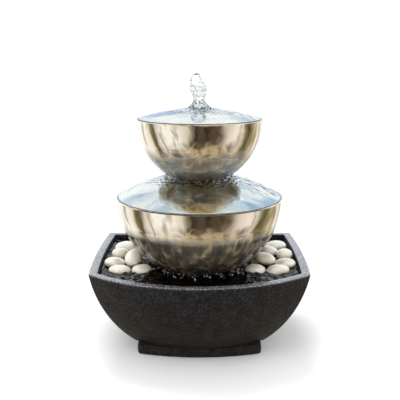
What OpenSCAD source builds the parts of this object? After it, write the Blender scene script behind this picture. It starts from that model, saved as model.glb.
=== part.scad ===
// Tabletop water fountain: two polished bowls, one above the other, stand in a bow-fronted
// stone-look basin. A pump on the basin floor lifts the water up the middle to a bubbling
// jet, and it runs back down over both bowls into the basin.
// The origin is on the table under the middle of the basin. +Z is up, the front faces -Y.

/* [Basin] */
// Width of the rim across its front corners
basin_w = 254; // [230:1:310]
// Depth from the middle of the bowed front to the straight back
basin_depth = 228; // [205:1:280]
// How far the front bows out past its corners
front_bow = 48; // [38:1:56]
// How far each side bows out
side_bow = 3.5; // [2:0.5:6]
// Height of the rim above the table
rim_z = 106; // [96:1:128]
// Thickness of the basin wall
basin_wall = 10; // [7:0.5:12]
// Thickness of the basin floor
basin_floor = 8; // [5:0.5:12]
// Lean of the outer wall at the rim, from upright
rim_lean = 10; // [8:1:14]
// How far the wall curves in from the rim to the foot
wall_run = 51.6; // [44:0.2:58]
// Height of the foot block under the body
foot_h = 11.5; // [8:0.5:18]
// How far the foot stands in from the body above it
foot_setback = 1.5; // [0.5:0.5:6]
// Radius of the foot's bowed front
foot_bow_r = 250; // [180:5:320]
// Height of the rubber feet
pad_h = 1.5; // [1:0.5:4]
// Radius of the rubber feet
pad_r = 8; // [5:0.5:10]
// Width of the half-round cable notch in the back rim, which stays above the water
notch_w = 12; // [10:0.5:12]

/* [Pebbles and their deck] */
// Depth of the pebble deck's top below the rim
deck_drop = 14; // [11:0.5:20]
// Thickness of the pebble deck
deck_t = 3; // [2:0.5:5]
// Gap between the lower bowl and the edge of the deck's middle opening
deck_gap = 20; // [14:1:24]
// Radius of the deck's legs
leg_r = 4; // [3:0.5:5]
// Thickness of a pebble
pebble_t = 13; // [9:0.5:14]
// Radius of the largest pebble
pebble_r = 13.6; // [10:0.1:14.5]

/* [Pedestal and seats] */
// Outer radius of the pedestal
pedestal_r = 40; // [38:1:46]
// Wall of the pedestal
pedestal_wall = 4; // [3:0.5:5]
// How far the lower bowl's curve dips below the basin's rim
bowl_dip = 21.5; // [15:0.5:25]
// Height of the rubber seat ring on the pedestal, at its inner edge
seat_h = 4.7; // [4:0.1:7]
// Width of the rubber seat ring under the upper bowl
ring_w = 4.5; // [3:0.5:6]

/* [Bowls] */
// Outer radius of the lower bowl
lower_r = 99.5; // [82:0.5:108]
// Outer radius of the upper bowl
upper_r = 74; // [61:0.5:84]
// Thickness of the bowls and lids
sheet_t = 1.2; // [0.8:0.1:1.6]
// Height of the straight lip on the upper bowl
upper_lip = 3; // [1:0.5:5]
// Rise of the lower bowl's domed lid
lower_rise = 27; // [22:0.5:32]
// Rise of the upper bowl's domed lid
upper_rise = 11; // [8:0.5:16]
// Radius of the opening in the lower lid that the upper bowl sits in
nest_r = 34.5; // [30:0.5:40]
// Depth of the lids' skirts
skirt_h = 5; // [3:0.5:8]
// Radius of the flat at the bottom of each bowl
flat_r = 14; // [13:0.5:18]

/* [Pump] */
// Width of the pump
pump_w = 42; // [38:1:46]
// Depth of the pump body
pump_depth = 30; // [29:1:32]
// Height of the pump body
pump_h = 30; // [28:1:36]
// Height of the suction cups
cup_h = 4; // [3:0.5:6]
// Thickness of the pump's front cover
cover_t = 3; // [2.5:0.5:5]
// Radius of the impeller chamber
chamber_r = 11.5; // [10:0.5:12]
// Depth of the impeller chamber
chamber_depth = 10; // [9:0.5:12]
// Radius of the magnet rotor's well
well_r = 7; // [6:0.5:8]
// Depth of the rotor's well behind the chamber
well_depth = 14; // [12:0.5:15]
// Radius of the impeller shaft
shaft_r = 1; // [0.75:0.25:1.5]
// Number of impeller blades
blades = 6; // [4:1:8]
// Thickness of the intake sponge
sponge_t = 4; // [3:0.5:6]
// Radius of the flow knob
knob_r = 6.5; // [5:0.5:7]

/* [Tubes and fittings] */
// Bore radius of the water tubes
tube_bore = 5.05; // [4:0.05:5.5]
// Wall of the water tubes
tube_wall = 1.95; // [1.5:0.05:2.5]
// Wall of the bulkhead fittings outside the tubes
fitting_wall = 1.98; // [1.5:0.02:2.5]
// Radius of the bulkhead flanges
flange_r = 12; // [11:0.5:13]
// Thickness of the bulkhead flanges
flange_t = 3; // [2:0.5:4]
// Thickness of the rubber washers
washer_t = 2; // [1:0.5:3]
// Height of the locknuts
nut_h = 6; // [4:0.5:8]
// Length of the bulkheads below the bowls
stub_l = 17; // [14:0.5:20]
// Radius of the nozzle's flange
nozzle_r = 10.5; // [9.5:0.5:14]
// Radius of the jet's opening
orifice_r = 5; // [3:0.5:6]

/* [Water] */
// Thickness of the water that runs over the lids
film_t = 1; // [0.5:0.1:2]
// Height of the bubbling jet above the nozzle
jet_h = 40; // [25:1:60]
// Radius of the jet at its widest
jet_r = 9; // [6:0.5:12]

/* [Fits] */
// Gap between the two tiers and what they rest on
tier_gap = 0.3; // [0.2:0.05:0.5]
// Running clearance of shafts and plugs in their bores, on the radius
run_gap = 0.05; // [0.02:0.01:0.1]
// Clearance between pieces that stay together
fixed_gap = 0.02; // [0.01:0.01:0.1]
// Gap between the lids' skirts and the bowls' lips
lid_gap = 0.2; // [0.1:0.05:0.4]
// Clearance round loose pieces
loose_gap = 0.5; // [0.3:0.1:1]

/* [Hidden] */
$fn = 120;
over = 1;

// Basin plan: the rim's outline is a bowed front, two faintly bowed sides and a straight back
front_y = -basin_depth / 2;
back_y = basin_depth / 2;
corner_y = front_y + front_bow;
front_r = (pow(basin_w / 2, 2) + pow(front_bow, 2)) / (2 * front_bow);
side_half = (back_y - corner_y) / 2;
side_r = (side_half * side_half + side_bow * side_bow) / (2 * side_bow);
body_z = pad_h + foot_h;
body_h = rim_z - body_z;
wall_curve_r = (pow(wall_run, 2) + pow(body_h, 2))
    / (2 * (wall_run * cos(rim_lean) - body_h * sin(rim_lean)));
floor_z = body_z + basin_floor;
deck_z = rim_z - deck_drop;
notch_r = notch_w / 2;
cavity_wall = basin_wall + loose_gap;

// How far the outer wall, an arc, stands in from the rim at height z
function wall_inset(z) = wall_curve_r * cos(rim_lean)
    - sqrt(pow(wall_curve_r, 2) - pow(rim_z + wall_curve_r * sin(rim_lean) - z, 2));
foot_inset = wall_inset(body_z);
foot_half_w = basin_w / 2 - foot_inset - foot_setback;
foot_front_y = front_y + foot_inset + foot_setback;
foot_back_y = back_y - foot_inset - foot_setback;

// Each bowl's sphere, plus the gap, meets the edge of the ring or opening that it rests on
lower_z = rim_z - bowl_dip + lower_r;
pedestal_bore = pedestal_r - pedestal_wall;
pedestal_z = lower_z - sqrt(pow(lower_r + tier_gap, 2) - pow(pedestal_bore, 2)) - seat_h;
pedestal_h = pedestal_z - floor_z;
deck_hole_r = sqrt(pow(lower_r, 2) - pow(lower_z - deck_z, 2)) + deck_gap;
lower_lid_r = lower_r - sheet_t - lid_gap;
lower_dome_r = (pow(lower_lid_r, 2) + pow(lower_rise, 2)) / (2 * lower_rise);
lower_dome_z = lower_z + lower_rise - lower_dome_r;
nest_z = lower_dome_z + sqrt(pow(lower_dome_r, 2) - pow(nest_r, 2));
upper_z = nest_z + sqrt(pow(upper_r + tier_gap, 2) - pow(nest_r, 2));
upper_rim_z = upper_z + upper_lip;
upper_lid_r = upper_r - sheet_t - lid_gap;
upper_dome_r = (pow(upper_lid_r, 2) + pow(upper_rise, 2)) / (2 * upper_rise);
upper_dome_z = upper_rim_z + upper_rise - upper_dome_r;

// Heights of the flats that are pressed into the bottoms of the bowls
lower_flat_z = lower_z - sqrt(pow(lower_r, 2) - pow(flat_r, 2));
upper_flat_z = upper_z - sqrt(pow(upper_r, 2) - pow(flat_r, 2));

// Tubes, fittings and nozzle
tube_r = tube_bore + tube_wall;
fitting_bore = tube_r + fixed_gap;
fitting_r = fitting_bore + fitting_wall;
spigot_h = 6;
panel_hole_r = fitting_r + lid_gap;
coupler_wall = 3;
coupler_r = fitting_r + coupler_wall;
coupler_room = 2;
coupler_top_z = upper_flat_z - washer_t - nut_h - coupler_room;
coupler_grip = 9;
coupler_step = 0.5;
stub_end_z = upper_flat_z - stub_l;
riser_top_z = stub_end_z - 3 * coupler_step;
tube_joint_z = lower_flat_z + sheet_t;
nozzle_wall = 1.2;
nozzle_body_r = tube_r + nozzle_wall;
nozzle_hole_r = nozzle_body_r + lid_gap / 2;
nut_wall = 4.5;
nozzle_z = upper_dome_z + sqrt(pow(upper_dome_r, 2) - pow(nozzle_hole_r, 2));
nozzle_flange_t = 2.2;
nozzle_body_h = 13;
nozzle_grip = 8;
jet_z = nozzle_z + nozzle_flange_t;

// Pump: the chamber's middle is under the tower's axis, so that the outlet points up it
pump_z = floor_z + cup_h;
axis_z = pump_z + pump_h / 2;
pump_front_y = -chamber_depth / 2;
cover_y = pump_front_y - cover_t;
well_end_y = pump_front_y + chamber_depth + well_depth;
bushing_wall = 2;
bushing_r = shaft_r + bushing_wall;
bushing_l = 2.4;
pocket_depth = 2;
spin_gap = 0.6;
barb_wall = 1.5;
barb_shoulder_h = 2;
outlet_bore = tube_bore - run_gap - barb_wall;
inlet_ring_r = 7.5;
inlet_hole_r = 1.3;
knob_x = pump_w / 2 - knob_r - loose_gap;
knob_pin_r = 2;
sponge_w = 23;
sponge_h = 24;
cage_wall = 1.5;
cage_room = 0.7;
sponge_x = knob_x - knob_r - cage_room - cage_wall - sponge_w / 2;

// Pebbles lie in a loose grid whose first column touches the side wall. Each is given by its
// column in from the wall, its row back from the tower's axis, its layer above the deck and
// its share of the largest radius
pebble_pitch = 2 * pebble_r + loose_gap;
pebble_wall_x = basin_w / 2 - basin_wall - wall_inset(deck_z) - pebble_r;
LEFT_PEBBLES = [[1.18, -1.52, 0, 0.96], [0.17, -1.66, 0, 0.98], [-0.08, -0.61, 0, 0.97],
    [0.93, -0.43, 0, 0.93], [0.57, -0.87, 1, 1], [-0.04, 0.51, 0, 0.99],
    [0.86, 1.08, 0, 0.94], [0.07, 1.88, 0, 0.97]];
RIGHT_PEBBLES = [[1.22, -1.52, 0, 0.95], [0.2, -1.77, 0, 0.98], [-0.1, -0.76, 0, 0.96],
    [0.9, -0.47, 0, 0.93], [0.6, -0.87, 1, 0.99], [-0.07, 0.36, 0, 1],
    [0.46, 1.3, 0, 0.96], [-0.04, 2.24, 0, 0.97]];

// The wall's outline in section: it leaves the rim at ref and curves in towards the foot
module wall_section(ref, inset, z_low, z_high) {
    intersection() {
        translate([ref - wall_curve_r * cos(rim_lean), rim_z + wall_curve_r * sin(rim_lean)])
            circle(r = wall_curve_r - inset, $fn = 360);
        translate([0, z_low]) square([ref + over, z_high - z_low]);
    }
}

// The basin's body between two heights, with every wall moved in by inset
module basin_form(inset, z_low, z_high) {
    intersection() {
        translate([0, front_y + front_r, 0])
            rotate_extrude($fn = 360) wall_section(front_r, inset, z_low, z_high);
        translate([basin_w / 2 + side_bow - side_r, corner_y + side_half, 0])
            rotate_extrude($fn = 720) wall_section(side_r, inset, z_low, z_high);
        translate([side_r - side_bow - basin_w / 2, corner_y + side_half, 0])
            rotate_extrude($fn = 720) wall_section(side_r, inset, z_low, z_high);
        translate([-basin_w, 0, 0]) rotate([90, 0, 90])
            linear_extrude(2 * basin_w) union() {
                wall_section(back_y, inset, z_low, z_high);
                translate([-basin_depth, z_low]) square([basin_depth + over, z_high - z_low]);
            }
    }
}

module foot_block() {
    intersection() {
        translate([0, foot_front_y + foot_bow_r, pad_h])
            cylinder(r = foot_bow_r, h = foot_h, $fn = 360);
        translate([-foot_half_w, foot_front_y, pad_h])
            cube([2 * foot_half_w, foot_back_y - foot_front_y, foot_h]);
    }
}

module basin() {
    color("#323234") difference() {
        union() {
            basin_form(0, body_z, rim_z);
            foot_block();
        }
        basin_form(basin_wall, floor_z, rim_z + over);
        translate([0, back_y + over, rim_z]) rotate([90, 0, 0])
            cylinder(r = notch_r, h = 4 * basin_wall);
    }
}

// The pads stand half their radius in from the foot's sides, and clear of its bowed front
module basin_feet() {
    margin = 1.5 * pad_r;
    color("#1c1c1c") for (side = [-1, 1], y = [foot_front_y + 2 * margin, foot_back_y - margin])
        translate([side * (foot_half_w - margin), y, 0]) cylinder(r = pad_r, h = pad_h);
}

// A rubber lining for the cable notch, as deep as the wall is there
module cable_grommet() {
    liner_t = 1.5;
    depth = basin_wall + wall_inset(rim_z - notch_w);
    color("#1c1c1c") intersection() {
        translate([0, back_y, rim_z]) rotate([90, 0, 0]) difference() {
            cylinder(r = notch_r - fixed_gap, h = depth);
            translate([0, 0, -over]) cylinder(r = notch_r - liner_t, h = depth + 2 * over);
        }
        basin_form(0, body_z, rim_z);
    }
}

// A slotted shelf on four legs that fills the basin's outline under the water
module pebble_deck() {
    slot_w = 5;
    slot_l = 28;
    slot_pitch = 16;
    slot_x = (deck_hole_r + basin_w / 2 - cavity_wall) / 2;
    color("#202022") {
        difference() {
            basin_form(cavity_wall, deck_z - deck_t, deck_z);
            translate([0, 0, deck_z - deck_t - over])
                cylinder(r = deck_hole_r, h = deck_t + 2 * over);
            for (side = [-1, 1], i = [-2:3])
                translate([side * slot_x - slot_l / 2, i * slot_pitch - slot_w / 2,
                        deck_z - deck_t - over])
                    cube([slot_l, slot_w, deck_t + 2 * over]);
        }
        deck_legs();
    }
}

// The legs stand on the floor round the pedestal, trimmed where the wall would cut them
module deck_legs() {
    leg_angle = 38;
    leg_x = deck_hole_r + leg_r + 2;
    intersection() {
        for (turn = [leg_angle, -leg_angle, 180 - leg_angle, leg_angle - 180])
            rotate([0, 0, turn]) translate([leg_x, 0, floor_z])
                cylinder(r = leg_r, h = deck_z - deck_t - floor_z);
        basin_form(cavity_wall, floor_z, deck_z - deck_t);
    }
}

module pebble(side, place) {
    r = pebble_r * place[3];
    translate([side * (pebble_wall_x - place[0] * pebble_pitch), place[1] * pebble_pitch,
            deck_z + pebble_t / 2 + place[2] * pebble_t])
        rotate_extrude($fn = 48) {
            translate([0, -pebble_t / 2]) square([r - pebble_t / 2, pebble_t]);
            intersection() {
                translate([r - pebble_t / 2, 0]) circle(d = pebble_t, $fn = 48);
                translate([0, -pebble_t]) square([r + over, 2 * pebble_t]);
            }
        }
}

module pebbles_left() {
    color("#ece6d6") for (place = LEFT_PEBBLES) pebble(-1, place);
}

module pebbles_right() {
    color("#ece6d6") for (place = RIGHT_PEBBLES) pebble(1, place);
}

// A tube round the pump that holds up both tiers, with arches where the water comes in
module pedestal() {
    arch_w = 18;
    arch_h = 16;
    color("#252527") translate([0, 0, floor_z]) difference() {
        cylinder(r = pedestal_r, h = pedestal_h);
        translate([0, 0, -over]) cylinder(r = pedestal_bore, h = pedestal_h + 2 * over);
        for (turn = [0:60:300]) rotate([0, 0, turn])
            translate([pedestal_bore - over, -arch_w / 2, -over])
                cube([pedestal_wall + 3 * over, arch_w, arch_h + over]);
    }
}

module lower_seat_ring() {
    color("#1c1c1c") rotate_extrude() difference() {
        translate([pedestal_bore, pedestal_z]) square([pedestal_wall, seat_h + pedestal_wall]);
        translate([0, lower_z]) circle(r = lower_r + tier_gap, $fn = 360);
    }
}

// A cylinder that lies along Y, from y_low to y_high
module along_y(r, y_low, y_high) {
    translate([0, y_high, 0]) rotate([90, 0, 0]) cylinder(r = r, h = y_high - y_low);
}

module pump_body() {
    color("#2a2b2e") translate([0, 0, axis_z]) difference() {
        translate([-pump_w / 2, pump_front_y, -pump_h / 2]) cube([pump_w, pump_depth, pump_h]);
        along_y(chamber_r, pump_front_y - over, pump_front_y + chamber_depth);
        along_y(well_r, pump_front_y, well_end_y);
        along_y(bushing_r, pump_front_y, well_end_y + bushing_l);
        cylinder(r = outlet_bore, h = pump_h);
    }
}

module suction_cups() {
    cup_r = 6;
    skirt_share = 0.6;
    cup_x = pump_w / 2 - cup_r;
    color("#3a3a3c") for (x = [-cup_x, cup_x],
            y = [pump_front_y + cup_r, pump_front_y + pump_depth - cup_r])
        translate([x, y, floor_z]) {
            cylinder(r1 = cup_r, r2 = cup_r / 2, h = cup_h * skirt_share);
            cylinder(r = cup_r / 2, h = cup_h);
        }
}

module outlet_barb() {
    barb_r = tube_bore - run_gap;
    neck_r = barb_r - 0.6;
    barb_h = 14;
    tooth_h = 3;
    color("#2a2b2e") translate([0, 0, pump_z + pump_h]) difference() {
        union() {
            cylinder(r = tube_r, h = barb_shoulder_h);
            cylinder(r = neck_r, h = barb_h);
            for (z = [4, 8]) translate([0, 0, z]) cylinder(r1 = barb_r, r2 = neck_r, h = tooth_h);
        }
        translate([0, 0, -over]) cylinder(r = outlet_bore, h = barb_h + 2 * over);
    }
}

module impeller_shaft() {
    end_gap = 0.2;
    color("#d8d8da") translate([0, 0, axis_z])
        along_y(shaft_r, pump_front_y - pocket_depth + end_gap, well_end_y + bushing_l - end_gap);
}

// A ceramic ring that carries one end of the impeller's shaft
module bushing(y_low, gap) {
    translate([0, 0, axis_z]) difference() {
        along_y(bushing_r - fixed_gap, y_low, y_low + bushing_l);
        along_y(shaft_r + gap, y_low - over, y_low + bushing_l + over);
    }
}

module rear_bushing() {
    color("#e6e2d8") bushing(well_end_y, fixed_gap);
}

module front_bushing() {
    color("#e6e2d8") bushing(pump_front_y - pocket_depth, run_gap);
}

// The impeller and its magnet rotor are one moulding that spins on the fixed shaft
module impeller() {
    hub_r = 4;
    blade_t = 1.4;
    blade_gap = 1;
    front = pump_front_y - pocket_depth + bushing_l + spin_gap;
    back = pump_front_y + chamber_depth - spin_gap;
    color("#f0f0ee") translate([0, 0, axis_z]) difference() {
        union() {
            along_y(hub_r, front, back);
            along_y(well_r - spin_gap, back - over, well_end_y - spin_gap);
            for (i = [0:blades - 1]) rotate([0, i * 360 / blades, 0])
                translate([0, front, -blade_t / 2])
                    cube([chamber_r - blade_gap, back - front, blade_t]);
        }
        along_y(shaft_r + run_gap, front - over, well_end_y + over);
    }
}

// Front plate of the pump: inlet holes round the middle, and a cage that holds the sponge
module pump_cover() {
    color("#34353a") translate([0, 0, axis_z]) difference() {
        union() {
            translate([-pump_w / 2, cover_y, -pump_h / 2]) cube([pump_w, cover_t, pump_h]);
            translate([sponge_x - sponge_w / 2 - cage_wall, cover_y - sponge_t,
                    -sponge_h / 2 - cage_wall])
                cube([sponge_w + 2 * cage_wall, sponge_t, sponge_h + 2 * cage_wall]);
        }
        translate([sponge_x - sponge_w / 2, cover_y - sponge_t - over, -sponge_h / 2])
            cube([sponge_w, sponge_t + over, sponge_h]);
        along_y(bushing_r, pump_front_y - pocket_depth, pump_front_y + over);
        for (i = [0:7]) rotate([0, i * 45, 0]) translate([inlet_ring_r, 0, 0])
            along_y(inlet_hole_r, cover_y - over, pump_front_y + over);
        translate([knob_x, 0, 0])
            along_y(knob_pin_r + run_gap, cover_y - over, pump_front_y + over);
    }
}

module intake_sponge() {
    color("#26282c") translate([sponge_x - sponge_w / 2 + fixed_gap, cover_y - sponge_t,
            axis_z - sponge_h / 2 + fixed_gap])
        cube([sponge_w - 2 * fixed_gap, sponge_t, sponge_h - 2 * fixed_gap]);
}

module flow_knob() {
    disc_t = 2.6;
    bar_w = 2.4;
    bar_l = 2 * knob_r - 2;
    front = cover_y - tier_gap - disc_t;
    color("#4a4b50") translate([knob_x, 0, axis_z]) {
        along_y(knob_r, front, front + disc_t);
        along_y(knob_pin_r, front + disc_t - over, pump_front_y - tier_gap);
        translate([-bar_l / 2, front - bar_w, -bar_w / 2]) cube([bar_l, bar_w, bar_w]);
    }
}

// A length of water tube on the tower's axis
module tube(z_low, z_high) {
    translate([0, 0, z_low]) difference() {
        cylinder(r = tube_r, h = z_high - z_low);
        translate([0, 0, -over]) cylinder(r = tube_bore, h = z_high - z_low + 2 * over);
    }
}

module feed_tube() {
    color("#b9c2c6") tube(pump_z + pump_h + barb_shoulder_h + tier_gap, tube_joint_z - fixed_gap);
}

module riser_tube() {
    color("#b9c2c6") tube(tube_joint_z, riser_top_z);
}

module nozzle_tube() {
    color("#b9c2c6") tube(upper_flat_z, nozzle_z - nozzle_body_h + nozzle_grip);
}

// Half of the section through a bowl of radius r: a quarter round with a flat bottom, that
// starts depth below the centre and goes straight up to the lip
module bowl_half_section(r, depth, lip) {
    union() {
        intersection() {
            circle(r = r, $fn = 360);
            translate([0, -depth]) square([r + over, depth]);
        }
        square([r, lip]);
    }
}

// A spun bowl: a hemisphere shell with a straight lip, a flat bottom and a hole for a fitting
module bowl(r, centre_z, flat_z, lip) {
    depth = centre_z - flat_z;
    translate([0, 0, centre_z]) difference() {
        rotate_extrude($fn = 240) bowl_half_section(r, depth, lip);
        rotate_extrude($fn = 240)
            bowl_half_section(r - sheet_t, depth - sheet_t, lip + over);
        translate([0, 0, -depth - over]) cylinder(r = panel_hole_r, h = sheet_t + 2 * over);
    }
}

module lower_bowl() {
    lip = 0.5;
    color("#c8bba8") bowl(lower_r, lower_z, lower_flat_z, lip);
}

module upper_bowl() {
    color("#c8bba8") bowl(upper_r, upper_z, upper_flat_z, upper_lip);
}

// A domed lid with a short skirt that drops into the bowl's lip
module lid(r, dome_r, dome_z, rim, hole_r) {
    rotate_extrude($fn = 240) difference() {
        union() {
            intersection() {
                translate([0, dome_z]) difference() {
                    circle(r = dome_r, $fn = 720);
                    circle(r = dome_r - sheet_t, $fn = 720);
                }
                translate([0, rim]) square([r, dome_r]);
            }
            translate([r - sheet_t, rim - skirt_h]) square([sheet_t, skirt_h]);
        }
        translate([0, rim - skirt_h - over]) square([hole_r, dome_r]);
    }
}

module lower_lid() {
    color("#c8bba8") lid(lower_lid_r, lower_dome_r, lower_dome_z, lower_z, nest_r);
}

module upper_lid() {
    color("#c8bba8")
        lid(upper_lid_r, upper_dome_r, upper_dome_z, upper_rim_z, nozzle_hole_r);
}

// A rubber ring in the lower lid's opening: it hooks under the lid and carries the upper bowl
module upper_seat_ring() {
    ring_h = 7;
    color("#1c1c1c") rotate_extrude() difference() {
        translate([nest_r - ring_w, nest_z - ring_h]) square([2 * ring_w, ring_h]);
        intersection() {
            translate([0, lower_dome_z]) difference() {
                circle(r = lower_dome_r + 2 * ring_h, $fn = 720);
                circle(r = lower_dome_r - sheet_t, $fn = 720);
            }
            translate([nest_r, nest_z - 2 * ring_h]) square([2 * ring_w, 3 * ring_h]);
        }
        translate([0, upper_z]) circle(r = upper_r + tier_gap, $fn = 360);
    }
}

// A flanged fitting that passes through a bowl's bottom and takes a tube in each end
module bulkhead(flat_z) {
    total_h = stub_l + sheet_t + spigot_h;
    difference() {
        union() {
            translate([0, 0, flat_z - stub_l]) cylinder(r = fitting_r, h = total_h);
            translate([0, 0, flat_z + sheet_t]) cylinder(r = flange_r, h = flange_t);
        }
        translate([0, 0, flat_z - stub_l - over])
            cylinder(r = fitting_bore, h = total_h + 2 * over);
    }
}

module lower_bulkhead() {
    color("#2e2f33") bulkhead(lower_flat_z);
}

module upper_bulkhead() {
    color("#2e2f33") bulkhead(upper_flat_z);
}

module washer(flat_z) {
    translate([0, 0, flat_z - washer_t]) difference() {
        cylinder(r = flat_r - loose_gap, h = washer_t);
        translate([0, 0, -over]) cylinder(r = fitting_r + fixed_gap, h = washer_t + 2 * over);
    }
}

module lower_washer() {
    color("#1c1c1c") washer(lower_flat_z);
}

module upper_washer() {
    color("#1c1c1c") washer(upper_flat_z);
}

// A six-sided nut whose bore clears the part that it screws onto
module hex_nut(top_z, bore_r) {
    translate([0, 0, top_z - nut_h]) difference() {
        cylinder(r = bore_r + nut_wall, h = nut_h, $fn = 6);
        translate([0, 0, -over]) cylinder(r = bore_r + fixed_gap, h = nut_h + 2 * over);
    }
}

module lower_locknut() {
    color("#2e2f33") hex_nut(lower_flat_z - washer_t, fitting_r);
}

module upper_locknut() {
    color("#2e2f33") hex_nut(upper_flat_z - washer_t, fitting_r);
}

// A socket on the riser's top that the upper bowl's fitting plugs into
module tier_coupler() {
    bottom_z = riser_top_z - coupler_grip;
    color("#2e2f33") difference() {
        translate([0, 0, bottom_z]) cylinder(r = coupler_r, h = coupler_top_z - bottom_z);
        translate([0, 0, bottom_z - over])
            cylinder(r = fitting_bore, h = coupler_grip + 2 * over);
        translate([0, 0, riser_top_z + coupler_step])
            cylinder(r = fitting_r + run_gap, h = coupler_top_z - riser_top_z + over);
    }
}

module nozzle() {
    color("#8d8f94") difference() {
        union() {
            translate([0, 0, nozzle_z - nozzle_body_h])
                cylinder(r = nozzle_body_r, h = nozzle_body_h + over);
            translate([0, 0, nozzle_z]) cylinder(r = nozzle_r, h = nozzle_flange_t);
        }
        translate([0, 0, nozzle_z - nozzle_body_h - over])
            cylinder(r = fitting_bore, h = nozzle_grip + over);
        translate([0, 0, nozzle_z - nozzle_body_h])
            cylinder(r = orifice_r, h = nozzle_body_h + nozzle_flange_t + over);
    }
}

module nozzle_nut() {
    dish = 0.8;
    color("#2e2f33") hex_nut(nozzle_z - sheet_t - dish, nozzle_body_r);
}

// The sheet of water that runs over a lid, from an inner radius out to the lid's edge
module water_film(r, dome_r, dome_z, rim, inner_r) {
    rotate_extrude($fn = 240) intersection() {
        translate([0, dome_z]) difference() {
            circle(r = dome_r + film_t, $fn = 720);
            circle(r = dome_r + fixed_gap, $fn = 720);
        }
        translate([inner_r, rim]) square([r - inner_r, dome_r]);
    }
}

module lower_water() {
    color("#a9cfe4", 0.6)
        water_film(lower_lid_r, lower_dome_r, lower_dome_z, lower_z, nest_r + 4 * film_t);
}

module upper_water() {
    color("#a9cfe4", 0.6)
        water_film(upper_lid_r, upper_dome_r, upper_dome_z, upper_rim_z, nozzle_r + tier_gap);
}

// The jet: a splash collar on the nozzle, a narrow neck and an egg of bubbling water
module water_jet() {
    neck_r = 0.75 * jet_r;
    color("#d4e4ea", 0.7) translate([0, 0, jet_z + fixed_gap]) rotate_extrude($fn = 64)
        polygon([[0, 0], [nozzle_r, 0], [1.4 * jet_r, 0.06 * jet_h], [1.1 * jet_r, 0.14 * jet_h],
            [neck_r, 0.3 * jet_h], [0.9 * jet_r, 0.45 * jet_h], [jet_r, 0.62 * jet_h],
            [0.92 * jet_r, 0.78 * jet_h], [0.68 * jet_r, 0.91 * jet_h],
            [0.32 * jet_r, 0.98 * jet_h], [0, jet_h]]);
}

basin();
basin_feet();
cable_grommet();
pebble_deck();
pebbles_left();
pebbles_right();
pedestal();
lower_seat_ring();
pump_body();
suction_cups();
outlet_barb();
impeller_shaft();
rear_bushing();
impeller();
pump_cover();
front_bushing();
intake_sponge();
flow_knob();
feed_tube();
lower_bowl();
lower_bulkhead();
lower_washer();
lower_locknut();
riser_tube();
tier_coupler();
lower_lid();
upper_seat_ring();
lower_water();
upper_bowl();
upper_bulkhead();
upper_washer();
upper_locknut();
nozzle_tube();
upper_lid();
nozzle();
nozzle_nut();
upper_water();
water_jet();
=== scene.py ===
"""Tabletop water fountain: two polished steel bowls over a black stone-resin basin.

The basin, pebbles, bowls, lids and water are surfaces worked out as numpy arrays, set on the
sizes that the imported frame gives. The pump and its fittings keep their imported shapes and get
their finishes here. All lengths are in metres.
"""

import math

import bmesh
import bpy
import numpy as np
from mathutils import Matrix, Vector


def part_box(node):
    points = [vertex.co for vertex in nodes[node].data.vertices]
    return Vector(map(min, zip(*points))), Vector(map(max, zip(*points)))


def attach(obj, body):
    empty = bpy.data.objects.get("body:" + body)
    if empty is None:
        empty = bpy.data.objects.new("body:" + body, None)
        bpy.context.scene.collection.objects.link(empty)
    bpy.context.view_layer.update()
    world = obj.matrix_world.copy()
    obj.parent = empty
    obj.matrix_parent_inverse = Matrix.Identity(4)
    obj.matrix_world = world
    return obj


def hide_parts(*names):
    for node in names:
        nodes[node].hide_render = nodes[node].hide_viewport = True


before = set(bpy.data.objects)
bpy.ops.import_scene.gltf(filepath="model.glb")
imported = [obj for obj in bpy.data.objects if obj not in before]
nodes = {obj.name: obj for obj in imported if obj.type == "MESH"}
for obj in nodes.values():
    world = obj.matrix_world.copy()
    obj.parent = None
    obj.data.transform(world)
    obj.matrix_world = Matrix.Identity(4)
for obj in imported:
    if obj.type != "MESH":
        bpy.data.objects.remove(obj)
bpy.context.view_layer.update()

MM = 0.001
TAU = 2 * math.pi
rng = np.random.default_rng(7)

# Sizes read from the frame
basin_low, basin_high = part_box("basin")
RIM_Z = basin_high.z
FRONT_Y, BACK_Y = basin_low.y, basin_high.y
SIDE_X = basin_high.x
FEET_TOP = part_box("basin_feet")[1].z
LOWER_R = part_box("lower_bowl")[1].x
LOWER_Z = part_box("lower_bowl")[1].z - 0.5 * MM
LOWER_FLAT_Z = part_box("lower_bowl")[0].z
UPPER_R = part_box("upper_bowl")[1].x
UPPER_LIP = 3 * MM
UPPER_RIM_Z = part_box("upper_bowl")[1].z
UPPER_Z = UPPER_RIM_Z - UPPER_LIP
UPPER_FLAT_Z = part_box("upper_bowl")[0].z
LOWER_LID_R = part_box("lower_lid")[1].x
UPPER_LID_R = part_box("upper_lid")[1].x
NEST_R = 34.5 * MM
NOZZLE_HOLE_R = 8.3 * MM
LOWER_RISE = 27 * MM
UPPER_RISE = 11 * MM
DECK_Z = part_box("pebble_deck")[1].z
JET_LOW, JET_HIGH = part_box("water_jet")

# The basin's plan and section, as in the design
CORNER_X = 127 * MM
FRONT_BOW = 48 * MM
SIDE_BOW = SIDE_X - CORNER_X
WALL = 10 * MM
BODY_Z = 13 * MM
FLOOR_Z = BODY_Z + 8 * MM
LEAN = math.radians(10)
WALL_RUN = 51.6 * MM
BODY_H = RIM_Z - BODY_Z
CURVE_R = (WALL_RUN ** 2 + BODY_H ** 2) / (2 * (WALL_RUN * math.cos(LEAN) - BODY_H * math.sin(LEAN)))
FOOT_SETBACK = 1.5 * MM
FOOT_BOW_R = 250 * MM
NOTCH_R = 6 * MM
SHEET = 1.2 * MM
POOL_Z = RIM_Z - 6.5 * MM
# Radius at which the lower bowl meets the pool, and the hole in each bowl's flat bottom
CONTACT_R = 46 * MM
FITTING_HOLE_R = 9.2 * MM


# ------------------------------------------------------------------ meshes

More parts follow.
